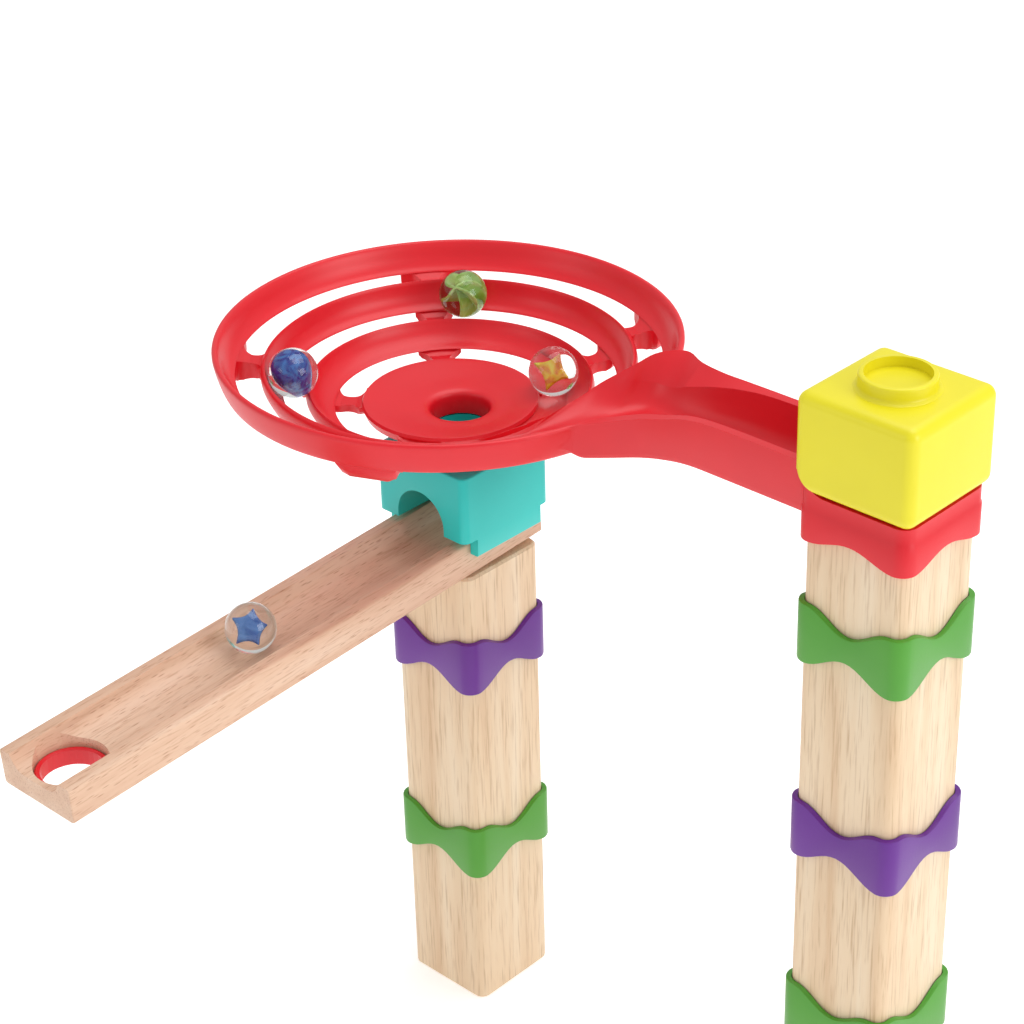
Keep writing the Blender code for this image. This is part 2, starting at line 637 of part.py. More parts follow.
def build():
    clear_scene()
    mats = {
        "red": material("red_plastic", (0.75, 0.02, 0.035), 0.35),
        "yellow": material("yellow_plastic", (0.78, 0.68, 0.03), 0.35),
        "turquoise": material("turquoise_plastic", (0.02, 0.62, 0.56), 0.35),
        "green": material("green_plastic", (0.1, 0.35, 0.04), 0.35),
        "purple": material("purple_plastic", (0.16, 0.02, 0.26), 0.35),
        "rubberwood": material("rubberwood", (0.78, 0.6, 0.4), 0.6),
        "beech": material("beech", (0.72, 0.46, 0.3), 0.6),
        "marble_green": material("green_glass", (0.35, 0.75, 0.2), 0.05),
        "marble_blue": material("blue_glass", (0.05, 0.15, 0.7), 0.05),
        "marble_fire": material("yellow_glass", (0.85, 0.6, 0.05), 0.05),
        "marble_star": material("clear_blue_glass", (0.4, 0.55, 0.85), 0.05),
    }
    funnel_chute(mats)
    entry_block(mats)
    exit_block(mats)
    rail(mats)
    drop_ring(mats)
    rail_end = rail_top(-POST_HALF) - RAIL_THICK / math.cos(RAIL_SLOPE) - GAP
    tower("A", (0, 0), rail_end, SLEEVES_A, mats)
    tower("B", (TOWER_B_X, 0), RIM_Z + COLLAR_SOCKET * MM - GAP, SLEEVES_B, mats)
    rail_dowel(mats)
    marbles(mats)


build()
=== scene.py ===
"""Looks of the marble run: moulded ABS, beech, rubberwood and glass marbles on a pale studio floor."""

import json
import math

import bmesh
import bpy
from mathutils import Matrix, Vector


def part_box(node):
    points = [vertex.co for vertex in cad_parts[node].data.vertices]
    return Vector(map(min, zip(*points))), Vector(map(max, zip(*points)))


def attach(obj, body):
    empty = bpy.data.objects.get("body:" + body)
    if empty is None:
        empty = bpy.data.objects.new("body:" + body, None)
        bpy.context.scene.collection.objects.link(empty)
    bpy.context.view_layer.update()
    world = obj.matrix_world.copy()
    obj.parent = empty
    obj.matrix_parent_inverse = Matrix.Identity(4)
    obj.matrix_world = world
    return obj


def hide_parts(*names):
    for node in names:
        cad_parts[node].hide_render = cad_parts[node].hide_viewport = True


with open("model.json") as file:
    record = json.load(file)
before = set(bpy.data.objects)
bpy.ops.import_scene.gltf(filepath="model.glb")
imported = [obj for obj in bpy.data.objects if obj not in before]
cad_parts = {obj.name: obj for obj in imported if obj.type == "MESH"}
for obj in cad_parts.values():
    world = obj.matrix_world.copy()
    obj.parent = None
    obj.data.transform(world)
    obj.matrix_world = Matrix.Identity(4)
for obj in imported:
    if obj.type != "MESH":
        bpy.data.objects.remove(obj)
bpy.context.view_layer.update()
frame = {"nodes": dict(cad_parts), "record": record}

MM = 0.001
RIM_Z = 0.250
BOWL = Vector((-0.0019, -0.00215, RIM_Z))
TOWER_B = 0.16826
RAIL_SLOPE = math.radians(3)

CLEARANCE = 0.3 * MM  # between pieces that sit against each other
BEYOND = 30 * MM  # how far a cutter reaches past the piece it cuts
SHARP_ANGLE = 38  # degrees, past which an edge stays crisp

# Posts, connectors and blocks. Eases are (inset, rise) pairs in mm at a column's ends.
POST_HALF = 17.35 * MM
POST_CORNER = 3.6 * MM
POST_EASE = ((0.8, 0), (0.4, 0.104), (0.104, 0.4), (0, 0.8))
SLEEVE_HALF = 19.13 * MM
SLEEVE_CORNER = 4.8 * MM
SLEEVE_TALL = 19.5 * MM
SLEEVE_LOW = 8.1 * MM
SLEEVE_EASE = ((0.45, 0), (0.12, 0.12), (0, 0.45))
WEB_HALF = 1.2 * MM
WEB_HOLE = (8.5 * MM, 8.3 * MM)  # half width and corner
COLLAR_TOP = ((0.98, 12.35), (0.58, 12.15), (0.38, 11.75), (0.38, 1.1), (0, 0.6))  # mm in, mm over the rim
PEG_RING = (
    (7, -2), (7, 4.5), (10.4, 4.5), (10.75, 4.4), (10.95, 4.15), (11, 3.8), (11, 1.4), (11.1, 0.8),
    (11.4, 0.35), (12.2, 0.05), (12.6, -0.4), (12.6, -2),
)
PEG_MOUTH = 9.5 * MM
BORE = 8.7 * MM
ENTRY_HALF = 20 * MM
ENTRY_EDGE = 3.5 * MM
ENTRY_LOW = RIM_Z + 6.3 * MM
ENTRY_HIGH = RIM_Z + 36.8 * MM
ENTRY_CROWN = RIM_Z + 21 * MM
EXIT_HALF = 19.8 * MM
EXIT_CORNER = 2.8 * MM
EXIT_EASE = ((0.6, 0), (0.25, 0.15), (0, 0.6))
EXIT_TOP = RIM_Z - 38 * MM
EXIT_SKIRT = RIM_Z - 68.1 * MM
EXIT_BOTTOM = RIM_Z - 61.5 * MM
EXIT_ARCH = 10.3 * MM
EXIT_CROWN = RIM_Z - 48.9 * MM
# What is cleared from under the exit block: half across, from and to along the rail in mm, and top
EXIT_CLEARED = (
    (30, -30, -14, EXIT_BOTTOM),
    (30, 15.5, 30, EXIT_BOTTOM + 0.01 * MM),
    (16.4, -31, 31, EXIT_BOTTOM + 0.02 * MM),
)
MARBLE_RADIUS = 8 * MM
RAIL_HALF = 16.1 * MM
RAIL_THICK = 12.2 * MM
RAIL_TOP = RIM_Z - 63.4 * MM
RAIL_GROOVE = ((11.6, 0), (10.9, -1.2), (9.6, -3.1), (7.6, -4.5), (5.2, -4.95))  # mm across, mm down
RAIL_EASE = ((1.0, 0), (0.45, 0.12), (0.12, 0.45), (0, 1.0))  # mm in from the side and down
RAIL_ENDS = ((-178.5, 0.985), (-178.2, 1), (19.0, 1), (19.3, 0.985))  # mm along, share of the section
DROP_Y = -0.165
DROP_RADIUS = 11.3 * MM
DOWEL_SEAT = (4.3 * MM, RAIL_TOP - 7.9 * MM)  # radius and top

# Bowl: profiles in mm from its axis and above the rim
RIM_RING = (
    (67.9, -8.7), (69.4, -7.4), (70.9, -5.0), (72.0, -2.0), (72.9, -0.3), (73.8, 0), (74.6, -0.7),
    (74.3, -3.0), (73.4, -6.6), (72.4, -9.4), (71.6, -10.4), (70.0, -9.8), (68.2, -9.1),
)
OUTER_BAND = (
    (53.3, -16.4), (55.4, -15.1), (57.0, -12.6), (57.8, -9.8), (58.4, -7.6), (59.7, -8.8),
    (59.7, -11.5), (58.0, -15.3), (56.4, -17.6), (54.6, -17.0), (53.6, -16.9),
)
INNER_BAND = (
    (37.3, -23.1), (40.2, -21.9), (42.6, -20.0), (44.1, -17.8), (45.0, -15.9), (45.8, -17.2),
    (46.0, -19.4), (44.2, -22.7), (41.4, -24.9), (39.5, -24.2), (37.6, -23.6),
)
HUB = (
    (9.3, -28.6), (9.8, -26.4), (11.0, -25.4), (13.0, -24.95), (17.0, -24.5), (21.5, -23.6), (26.5, -22.5),
    (28.0, -22.3), (28.5, -23.2), (27.6, -25.7), (20.0, -27.4), (14.8, -28.4), (13.6, -30.5),
    (13.6, -37.7), (12.7, -37.7), (11.5, -36.2), (11.4, -33.2), (9.2, -32.9),
)
HUB_CURVED = 8  # this many points lie on a smooth curve, and the rest are joined by straight lines
HUB_SHIFT = (14, 28)  # mm: inside it stands about the tower's axis, outside about the bowl's

# Spokes: the way they point, half their width, and each kind's outline from the side, in mm
SPOKES = (64, 140, -144, -66, -2)  # degrees
SPOKE_HALF = 2.8
SPOKE_FLARE = ((-1, 0.5), (-0.85, 0.84), (-0.6, 1), (0.6, 1), (0.85, 0.84), (1, 0.5))  # shares across, deep
OUTER_SPOKE = (
    (69.6, -8.2), (68.2, -9.0), (66.6, -10.2), (64.6, -11.0), (61.6, -11.2), (58.8, -10.8),
    (58.6, -15.0), (62.0, -16.4), (66.5, -16.8), (69.6, -15.2), (71.2, -12.6), (71.4, -10.2),
)
MIDDLE_SPOKE = (
    (55.0, -16.2), (53.2, -17.3), (51.6, -18.3), (48.6, -18.6), (45.7, -18.2), (44.8, -18.6),
    (43.8, -21.6), (47.0, -22.4), (52.0, -21.8), (55.0, -19.6), (56.0, -17.2),
)
INNER_SPOKE = (
    (38.6, -23.2), (37.2, -24.1), (35.6, -24.9), (30.4, -24.9), (28.7, -24.4), (27.4, -23.6),
    (26.6, -26.6), (30.0, -27.4), (35.0, -27.4), (38.6, -26.2), (40.2, -24.4),
)
# The gap's radii, its spoke and half the spoke's flared width
GAPS = (
    ((59.7, 67.9), OUTER_SPOKE, 9.8),
    ((46.0, 53.3), MIDDLE_SPOKE, 6.4),
    ((28.5, 37.3), INNER_SPOKE, 7.1),
)
LANDING = (-24, 64)  # degrees between which the inner gap is closed
SLOT_REACH = 20
SLOT_LOW = -50
SLOT_TALL = 70

# Chute, from the collar to the bowl, in mm: near edge, far edge, then the far wall's width, the height
# of that wall's inner edge, floor, underside and how steeply the floor banks.
CHUTE_HALF = 14.3
CHUTE_WALL = 2.7
CHUTE_SKY = 20  # over the rim, past the top of any wall
CHUTE_STEPS = 18  # across the floor
STATIONS = (
    (151.26, -14.3, 12.35, 151.26, 14.3, 12.35, 2.7, 12.3, -1.5, -3.9, 7),
    (119, -14.3, 12.3, 119, 14.3, 12.35, 2.8, 12.0, -1.5, -3.9, 7),
    (106, -14.3, 11.1, 106, 14.3, 12.35, 3.6, 11.0, -1.6, -4.1, 7),
    (96.5, -14.4, 8.1, 96.5, 14.3, 12.35, 5.0, 9.4, -1.8, -5.6, 6),
    (88, -15, 5.6, 87, 15.7, 12.35, 7.4, 6.8, -2.1, -7.7, 5),
    (79.5, -17, 2.6, 80, 18.7, 12.35, 10, 4.5, -2.4, -10, 4),
    (74.2, -19.2, 1.0, 75.6, 16.8, 12.35, 8.6, 4.6, -2.7, -11, 4),
    (70.6, -21.6, 0.2, 72, 11.6, 12.1, 5.6, 4.8, -3.0, -11, 3.4),
    (67.8, -25.4, -0.3, 69.4, 6.4, 10, 3.0, 5.6, -3.3, -8.2, 3),
    (65.0, -30.8, -0.4, 65.7, 3.6, 7, 2.0, 4.6, -3.7, -7.0, 2.6),
    (62.8, -35.4, -0.4, 61.2, -0.6, 3.4, 1.6, 1.6, -4.1, -6.6, 2.2),
    (60.2, -39.9, -0.4, 59.0, -6.6, 0.6, 1.4, -0.4, -4.5, -6.9, 2),
    (57.2, -44.3, -0.4, 57.6, -13.6, -1.0, 1.3, -1.9, -4.8, -7.2, 2),
    (54.0, -48.4, -0.4, 56.8, -21.6, -2.2, 1.2, -2.9, -5.0, -7.4, 2),
    (50.6, -52.2, -0.4, 56.0, -30.2, -2.9, 1.1, -3.5, -4.9, -7.3, 2),
    (46.9, -55.6, -0.4, 53.8, -39.0, -3.0, 1.0, -3.5, -4.4, -6.8, 2),
    (43.0, -58.9, -0.5, 49.4, -48.2, -2.4, 0.8, -2.8, -3.4, -5.9, 2),
    (39.6, -61.2, -0.6, 43.0, -56.4, -1.6, 0.6, -1.8, -2.0, -4.6, 2),
)
# The rounded step between the collar's top and the entry block: mm from the tower's axis and over the rim
SADDLE = ((-18.4, 12.5), (-17.2, 10.6), (-16.0, 9.2), (-14.6, 7.9), (-12.5, 6.6), (-10.1, 6.0))

# Camera
CAMERA_AT = (0.53553, -0.53105, RIM_Z + 0.36394)
CAMERA_TURN = (60.35, -1.66, 44.05)  # degrees: tilt from straight down, roll, heading
LENS = 93.04


# Material tools

FACTOR, FIRST, SECOND, MIXED = 0, 6, 7, 2  # a Mix node's sockets when it mixes colours


def srgb(code):
    """A hex colour such as "C8102E" as linear red, green, blue and alpha."""
    channels = [int(code[i : i + 2], 16) / 255 for i in (0, 2, 4)]
    linear = [c / 12.92 if c <= 0.04045 else ((c + 0.055) / 1.055) ** 2.4 for c in channels]
    return (*linear, 1.0)


def add(tree, kind, inputs=None, stops=(), **settings):
    """A node with its settings. Each input takes a value or another node's output, and a colour ramp
    takes (position, hex colour) stops."""
    new = tree.nodes.new(kind)
    for name, value in settings.items():
        setattr(new, name, value)
    for name, value in (inputs or {}).items():
        if isinstance(value, bpy.types.NodeSocket):
            tree.links.new(value, new.inputs[name])
        else:
            new.inputs[name].default_value = value
    if stops:
        elements = new.color_ramp.elements
        while len(elements) < len(stops):
            elements.new(0.5)
        for element, (position, code) in zip(elements, stops):
            element.position = position
            element.color = srgb(code)
    return new


def start(name):
    """An empty material: its tree, its Principled shader and its object coordinates."""
    mat = bpy.data.materials.new(name)
    mat.use_nodes = True
    tree = mat.node_tree
    shader = tree.nodes["Principled BSDF"]
    coords = add(tree, "ShaderNodeTexCoord").outputs["Object"]
    return mat, tree, shader, coords


def per_mm(size):
    """The scale of a pattern on metre coordinates whose features are that many millimetres apart."""
    return 1000 / size


# Materials


def moulded_abs(name, light, deep, roughness=0.36):
    """Injection-moulded ABS from a lightly spark-eroded tool: even colour, satin gloss, and a fine
    texture that breaks up the edges of highlights."""
    mat, tree, shader, coords = start(name)
    cloud = add(tree, "ShaderNodeTexNoise", {"Vector": coords, "Scale": per_mm(28), "Detail": 3.0})
    colour = add(tree, "ShaderNodeValToRGB", {"Fac": cloud.outputs["Fac"]}, ((0.3, deep), (0.7, light)))
    tree.links.new(colour.outputs["Color"], shader.inputs["Base Color"])
    # The tool's texture is about 0.1 mm, drawn at 0.35 mm so that it shows.
    grit = add(tree, "ShaderNodeTexNoise", {"Vector": coords, "Scale": per_mm(0.35), "Detail": 2.0})
    gloss = add(
        tree,
        "ShaderNodeMapRange",
        {"Value": grit.outputs["Fac"], "To Min": roughness - 0.05, "To Max": roughness + 0.07},
    )
    tree.links.new(gloss.outputs["Result"], shader.inputs["Roughness"])
    bump = add(
        tree, "ShaderNodeBump", {"Height": grit.outputs["Fac"], "Strength": 0.12, "Distance": 0.00008}
    )
    tree.links.new(bump.outputs["Normal"], shader.inputs["Normal"])
    shader.inputs["IOR"].default_value = 1.5
    return mat


def grained_wood(name, turn, bands, pore, fleck, pore_size, fleck_size, fleck_amount, roughness=0.48):
    """Sanded, clear-lacquered solid wood: long soft bands, fine broken pore lines and short dark flecks
    under a soft sheen. The grain runs along Z of the turned coordinates."""
    mat, tree, shader, coords = start(name)
    turned = add(tree, "ShaderNodeMapping", {"Vector": coords, "Rotation": turn}).outputs["Vector"]
    # Growth bands, a few millimetres wide and very long.
    slow = add(tree, "ShaderNodeMapping", {"Vector": turned, "Scale": (1, 1, 0.06)}).outputs["Vector"]
    band = add(
        tree, "ShaderNodeTexNoise", {"Vector": slow, "Scale": per_mm(9), "Detail": 4.0, "Distortion": 0.5}
    )
    colour = add(tree, "ShaderNodeValToRGB", {"Fac": band.outputs["Fac"]}, bands).outputs["Color"]
    # Pores, drawn as fine broken lines along the grain.
    across, along = pore_size
    thin = add(tree, "ShaderNodeMapping", {"Vector": turned, "Scale": (1, 1, across / along)})
    pores = add(
        tree,
        "ShaderNodeTexNoise",
        {"Vector": thin.outputs["Vector"], "Scale": per_mm(across), "Detail": 3.0},
    )
    lines = add(
        tree,
        "ShaderNodeMapRange",
        {"Value": pores.outputs["Fac"], "From Min": 0.52, "From Max": 0.72, "To Max": 0.55},
    )
    mixed = {FACTOR: lines.outputs["Result"], FIRST: colour, SECOND: srgb(pore)}
    colour = add(tree, "ShaderNodeMix", mixed, data_type="RGBA").outputs[MIXED]
    # Ray flecks: short dashes, darker than the wood round them.
    across, along = fleck_size
    dash = add(tree, "ShaderNodeMapping", {"Vector": turned, "Scale": (1, 1, across / along)})
    flecks = add(
        tree,
        "ShaderNodeTexVoronoi",
        {"Vector": dash.outputs["Vector"], "Scale": per_mm(across * 3)},
        feature="F1",
    )
    marks = add(
        tree,
        "ShaderNodeMapRange",
        {
            "Value": flecks.outputs["Distance"],
            "From Min": 0.1,
            "From Max": 0.26,
            "To Min": fleck_amount,
            "To Max": 0.0,
        },
    )
    mixed = {FACTOR: marks.outputs["Result"], FIRST: colour, SECOND: srgb(fleck)}
    colour = add(tree, "ShaderNodeMix", mixed, data_type="RGBA").outputs[MIXED]
    tree.links.new(colour, shader.inputs["Base Color"])
    bump = add(
        tree, "ShaderNodeBump", {"Height": pores.outputs["Fac"], "Strength": 0.18, "Distance": 0.0001}
    )
    tree.links.new(bump.outputs["Normal"], shader.inputs["Normal"])
    sheen = add(
        tree,
        "ShaderNodeMapRange",
        {"Value": band.outputs["Fac"], "To Min": roughness - 0.06, "To Max": roughness + 0.08},
    )
    tree.links.new(sheen.outputs["Result"], shader.inputs["Roughness"])
    shader.inputs["IOR"].default_value = 1.5
    return mat


def marble_glass():
    """Soda-lime glass, fire polished: clear, with a faint green body and small seed bubbles' ripple."""
    mat, tree, shader, coords = start("soda_lime_glass")
    shader.inputs["Base Color"].default_value = srgb("F6FBF8")
    shader.inputs["Roughness"].default_value = 0.0
    shader.inputs["IOR"].default_value = 1.5
    shader.inputs["Transmission Weight"].default_value = 1.0
    ripple = add(tree, "ShaderNodeTexNoise", {"Vector": coords, "Scale": per_mm(5), "Detail": 1.0})
    bump = add(
        tree, "ShaderNodeBump", {"Height": ripple.outputs["Fac"], "Strength": 0.05, "Distance": 0.0002}
    )
    tree.links.new(bump.outputs["Normal"], shader.inputs["Normal"])
    return mat


def core_glass(name, stops):
    """Opaque coloured glass ribbon inside a marble: streaked where two colours were drawn together."""
    mat, tree, shader, coords = start(name)
    streak = add(
        tree, "ShaderNodeTexNoise", {"Vector": coords, "Scale": per_mm(4), "Detail": 2.0, "Distortion": 1.2}
    )
    colour = add(tree, "ShaderNodeValToRGB", {"Fac": streak.outputs["Fac"]}, stops)
    tree.links.new(colour.outputs["Color"], shader.inputs["Base Color"])
    shader.inputs["Roughness"].default_value = 0.25
    return mat


def studio_paper():
    """Translucent white paper lit from below as well: flat, with the faintest unevenness."""
    mat, tree, shader, coords = start("studio_paper")
    cloud = add(tree, "ShaderNodeTexNoise", {"Vector": coords, "Scale": 3.0, "Detail": 2.0})
    stops = ((0.3, "F4F4F4"), (0.7, "F8F8F8"))
    colour = add(tree, "ShaderNodeValToRGB", {"Fac": cloud.outputs["Fac"]}, stops).outputs["Color"]
    tree.links.new(colour, shader.inputs["Base Color"])
    tree.links.new(colour, shader.inputs["Emission Color"])
    shader.inputs["Emission Strength"].default_value = 0.42
    shader.inputs["Roughness"].default_value = 0.9
    return mat


# Mesh tools


def new_piece(name, bm, mat, body, slot, *nodes):
    """A finished piece from a bmesh: smooth, at the origin, riding on a body in place of CAD nodes."""
    bmesh.ops.remove_doubles(bm, verts=bm.verts, dist=0.000001)
    bmesh.ops.recalc_face_normals(bm, faces=bm.faces)
    obj = as_object(name, bm)
    finish_piece(obj, mat, body, slot, *nodes)
    return obj


def as_object(name, bm):
    """An object at the origin that takes over the bmesh."""
    mesh = bpy.data.meshes.new(name)
    bm.to_mesh(mesh)
    bm.free()
    obj = bpy.data.objects.new(name, mesh)
    bpy.context.scene.collection.objects.link(obj)
    return obj


def finish_piece(obj, mat, body, slot, *nodes):
    """Gives a piece its material and its body, in place of CAD nodes. The slot is not used."""
    obj.data.materials.clear()
    obj.data.materials.append(mat)
    for polygon in obj.data.polygons:
        polygon.use_smooth = True
    obj.data.set_sharp_from_angle(angle=math.radians(SHARP_ANGLE))
    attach(obj, body)
    if nodes:
        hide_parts(*nodes)


def settle(obj):
    """Applies the object's modifiers to its mesh."""
    graph = bpy.context.evaluated_depsgraph_get()
    mesh = bpy.data.meshes.new_from_object(obj.evaluated_get(graph))
    obj.modifiers.clear()
    obj.data = mesh


def cut_or_join(target, others, operation):
    """Applies exact Booleans of these objects on the target, and removes them."""
    for other in others:
        modifier = target.modifiers.new(other.name, "BOOLEAN")
        modifier.object = other
        modifier.operation = operation
        modifier.solver = "EXACT"
    settle(target)
    for other in others:
        bpy.data.objects.remove(other, do_unlink=True)


def smooth_path(points, parts, closed):
    """The same points with parts - 1 new ones between each two, on a Catmull-Rom curve."""
    path = []
    count = len(points)
    for i in range(count if closed else count - 1):
        if closed:
            a, b, c, d = (points[(i + k) % count] for k in (-1, 0, 1, 2))
        else:
            a, b, c, d = (points[min(max(i + k, 0), count - 1)] for k in (-1, 0, 1, 2))
        for part in range(parts):
            t = part / parts
            linear, squared, cubed = c - a, 2 * a - 5 * b + 4 * c - d, 3 * b - a - 3 * c + d
            path.append(0.5 * (2 * b + linear * t + squared * t**2 + cubed * t**3))
    if not closed:
        path.append(points[-1])
    return path


def outline(bm, points):
    """A closed loop of edges through these points."""
    verts = [bm.verts.new(point) for point in points]
    return [bm.edges.new((verts[i - 1], verts[i])) for i in range(len(verts))]


def loft(name, loops):
    """A closed body bridged from loop to loop, with a face over each end."""
    bm = bmesh.new()
    rings = [outline(bm, loop) for loop in loops]
    for first, second in zip(rings, rings[1:]):
        bmesh.ops.bridge_loops(bm, edges=first + second)
    for ring in (rings[0], rings[-1]):
        bmesh.ops.contextual_create(bm, geom=ring)
    bmesh.ops.recalc_face_normals(bm, faces=bm.faces)
    return as_object(name, bm)


def spun(name, profile, axis, steps, parts=3):
    """A ring spun from a profile of (radius, height) pairs in mm about an upright axis."""
    points = [Vector((radius, 0, height)) for radius, height in profile]
    bm = bmesh.new()
    edges = outline(bm, [axis + point * MM for point in smooth_path(points, parts, True)])
    verts = list(bm.verts)
    bmesh.ops.spin(
        bm, geom=verts + edges, cent=axis, axis=(0, 0, 1), angle=2 * math.pi, steps=steps, use_merge=True
    )
    bmesh.ops.remove_doubles(bm, verts=bm.verts, dist=0.00001)
    bmesh.ops.recalc_face_normals(bm, faces=bm.faces)
    return as_object(name, bm)


def rod(name, radius, low, high, centre, segments=64):
    """A round cutter from low to high."""
    bm = bmesh.new()
    place = Matrix.Translation((centre[0], centre[1], (low + high) / 2))
    bmesh.ops.create_cone(
        bm,
        cap_ends=True,
        segments=segments,
        radius1=radius,
        radius2=radius,
        depth=high - low,
        matrix=place,
    )
    return as_object(name, bm)


def extruded(name, points, along):
    """A flat outline drawn out along a vector."""
    bm = bmesh.new()
    outline(bm, points)
    face = bmesh.ops.contextual_create(bm, geom=bm.edges[:])["faces"]
    drawn = bmesh.ops.extrude_face_region(bm, geom=face, use_keep_orig=True)["geom"]
    moved = [item for item in drawn if isinstance(item, bmesh.types.BMVert)]
    bmesh.ops.translate(bm, verts=moved, vec=along)
    bmesh.ops.recalc_face_normals(bm, faces=bm.faces)
    return as_object(name, bm)


# Outlines and shared shapes


def square(half, corner, centre, z, face=16, arc=8):
    """Points round a square with round corners, all at one height."""
    flat = half - corner
    side = [Vector((half, -flat + 2 * flat * i / face, 0)) for i in range(face)]
    for i in range(arc):
        angle = math.pi / 2 * i / arc
        side.append(Vector((flat + corner * math.cos(angle), flat + corner * math.sin(angle), 0)))
    points = []
    for quarter in range(4):
        turn = Matrix.Rotation(quarter * math.pi / 2, 3, "Z")
        points += [turn @ point for point in side]
    return [Vector((p.x + centre[0], p.y + centre[1], z)) for p in points]


def eased_column(name, half, corner, centre, low, high, ease, arc):
    """A square column with round corners and eased ends."""
    levels = [(inset, low + rise * MM) for inset, rise in ease]
    levels += [(inset, high - rise * MM) for inset, rise in reversed(ease)]
    loops = []
    for inset, z in levels:
        loops.append(square(half - inset * MM, corner - inset * MM, centre, z, face=1, arc=arc))
    return loft(name, loops)


def wave(point, centre, half):
    """0 at the middle of a face and 1 at a corner, along a connector's edge."""
    along = min(abs(point.x - centre[0]), abs(point.y - centre[1])) / half
    return (1 - math.cos(math.pi * min(along / 0.78, 1))) / 2


def polar(radius, degrees, z):
    """A point in mm from the bowl's axis and above its rim."""
    angle = math.radians(degrees)
    return BOWL + Vector((radius * math.cos(angle), radius * math.sin(angle), z)) * MM


def spokes(gap, side, flare, angles):
    """The spokes across one gap, each flared by the round ends of the slots beside it."""
    inner, outer = gap
    end = (outer - inner) / 2
    middle = (outer + inner) / 2
    crest = max(z for _, z in side)
    made = []
    for degrees in angles:
        turn = Matrix.Translation(BOWL) @ Matrix.Rotation(math.radians(degrees), 4, "Z")
        loops = []
        for offset, depth in SPOKE_FLARE:
            points = [Vector((r, offset * flare, crest + (z - crest) * depth)) * MM for r, z in side]
            loops.append([turn @ point for point in points])
        body = loft(f"spoke_{degrees}_{int(inner)}", loops)
        slots = []
        for sign in (-1, 1):
            centre = sign * (SPOKE_HALF + end)
            points = [(middle + end, sign * SLOT_REACH), (middle - end, sign * SLOT_REACH)]
            for i in range(25):
                angle = math.pi * i / 24
                points.append((middle - end * math.cos(angle), centre - sign * end * math.sin(angle)))
            low = [turn @ (Vector((r, y, SLOT_LOW)) * MM) for r, y in points]
            slots.append(extruded(f"slot_{sign}", low, (0, 0, SLOT_TALL * MM)))
        cut_or_join(body, slots, "DIFFERENCE")
        made.append(body)
    return made


def chute_rows():
    """The chute's stations, with three more between each two."""
    return smooth_path([Vector(row) for row in STATIONS], 4, False)


def chute_outside(rows):
    """The chute before it's hollowed, with soft lower corners."""
    loops = []
    for row in rows:
        near, far = Vector(row[0:3]), Vector(row[3:6])
        under = row[9]
        loop = [near, near.lerp(Vector((near.x, near.y, under)), 0.86)]
        low_near, low_far = Vector((near.x, near.y, under)), Vector((far.x, far.y, under))
        loop += [low_near.lerp(low_far, 0.035), low_near.lerp(low_far, 0.965)]
        loop += [far.lerp(low_far, 0.86), far]
        loops.append([Vector((p.x * MM, p.y * MM, RIM_Z + p.z * MM)) for p in loop])
    return loft("chute_outside", loops)


def chute_inside(rows):
    """The space that the marble runs in, open at the top."""
    loops = []
    for row in rows:
        near, far = Vector(row[0:3]), Vector(row[3:6])
        far_wall, far_inner, ground, _, bank = row[6:11]
        across = Vector((far.x - near.x, far.y - near.y, 0))
        width = across.length
        across.normalize()
        # The near wall thins to a lip where it meets the bowl's rim.
        blend = min(max((near.z - 0.2) / 0.8, 0), 1)
        wall = 0.5 + (min(CHUTE_WALL, 0.12 * width) - 0.5) * blend
        loop = [near + across * wall]
        loop[0].z = CHUTE_SKY
        for i in range(CHUTE_STEPS + 1):
            t = (1 - math.cos(math.pi * i / CHUTE_STEPS)) / 2
            point = near + across * (wall + (width - wall - far_wall) * t)
            top = near.z if t < 0.5 else far_inner
            point.z = ground + (top - ground) * abs(2 * t - 1) ** bank
            loop.append(point)
        outer = near + across * (width + 0.4)
        outer.z = far.z + 0.04
        loop.append(outer)
        loop.append(Vector((outer.x, outer.y, CHUTE_SKY)))
        loops.append([Vector((p.x * MM, p.y * MM, RIM_Z + p.z * MM)) for p in loop])
    first = [point + Vector((TOWER_B - STATIONS[0][0] * MM, 0, 0)) for point in loops[0]]
    return loft("chute_inside", [first] + loops)


def collar():
    """The square sleeve under the chute's upper end, with the same wavy edge as a connector."""
    centre = (TOWER_B, 0)
    inner, inner_corner = POST_HALF + CLEARANCE, POST_CORNER + CLEARANCE
    rows = []
    for inset, z in COLLAR_TOP:
        rows.append(square(SLEEVE_HALF - inset * MM, SLEEVE_CORNER - inset * MM, centre, RIM_Z + z * MM))
    for reach, corner in ((SLEEVE_HALF, SLEEVE_CORNER), (inner, inner_corner)):
        row = square(reach, corner, centre, 0)
        for point in row:
            point.z = RIM_Z + (-5.4 - 3.4 * wave(point, centre, reach)) * MM
        rows.append(row)
    rows.append(square(inner, inner_corner, centre, RIM_Z - 3.9 * MM))
    return loft("collar", rows)


def saddle(lift, top):
    """The rounded step as (x, z) pairs from left to right, lifted, and then the pairs in top."""
    pairs = [Vector(pair) for pair in SADDLE]
    path = smooth_path(pairs, 4, False)
    return [(TOWER_B + p.x * MM, RIM_Z + p.y * MM + lift) for p in path] + top


